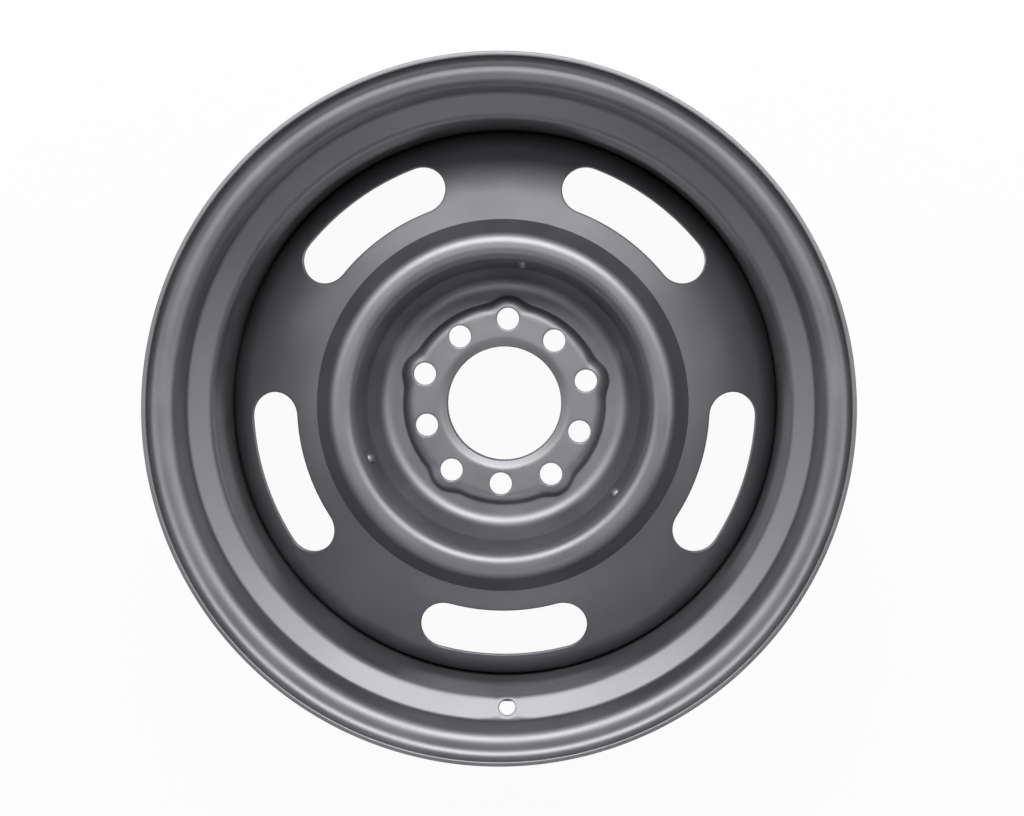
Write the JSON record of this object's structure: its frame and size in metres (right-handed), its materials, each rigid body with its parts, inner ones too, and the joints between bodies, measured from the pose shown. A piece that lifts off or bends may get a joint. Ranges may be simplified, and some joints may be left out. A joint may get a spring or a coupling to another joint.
{
  "type": "steel wheel rim",
  "caption": "Pressed-steel road wheel: a rolled drop-centre rim with a welded stamped disc that has a raised crown, curved slots, a hub bore and bolt holes.",
  "frame": {"origin": "centre of the hub bore on the mounting plane, which with zero offset is also the middle of the rim's width", "axes": "+Z along the wheel's axis towards the street side; the wheel lies on its rear flange with its street side up; -Y towards the valve hole"},
  "size_m": [0.4711, 0.4712, 0.2286],
  "materials": {
    "wheel_paint": "satin gunmetal grey"
  },
  "bodies": {
    "root": {"rim": "wheel_paint", "disc": "wheel_paint", "weld_beads": "wheel_paint"}
  },
  "joints": []
}
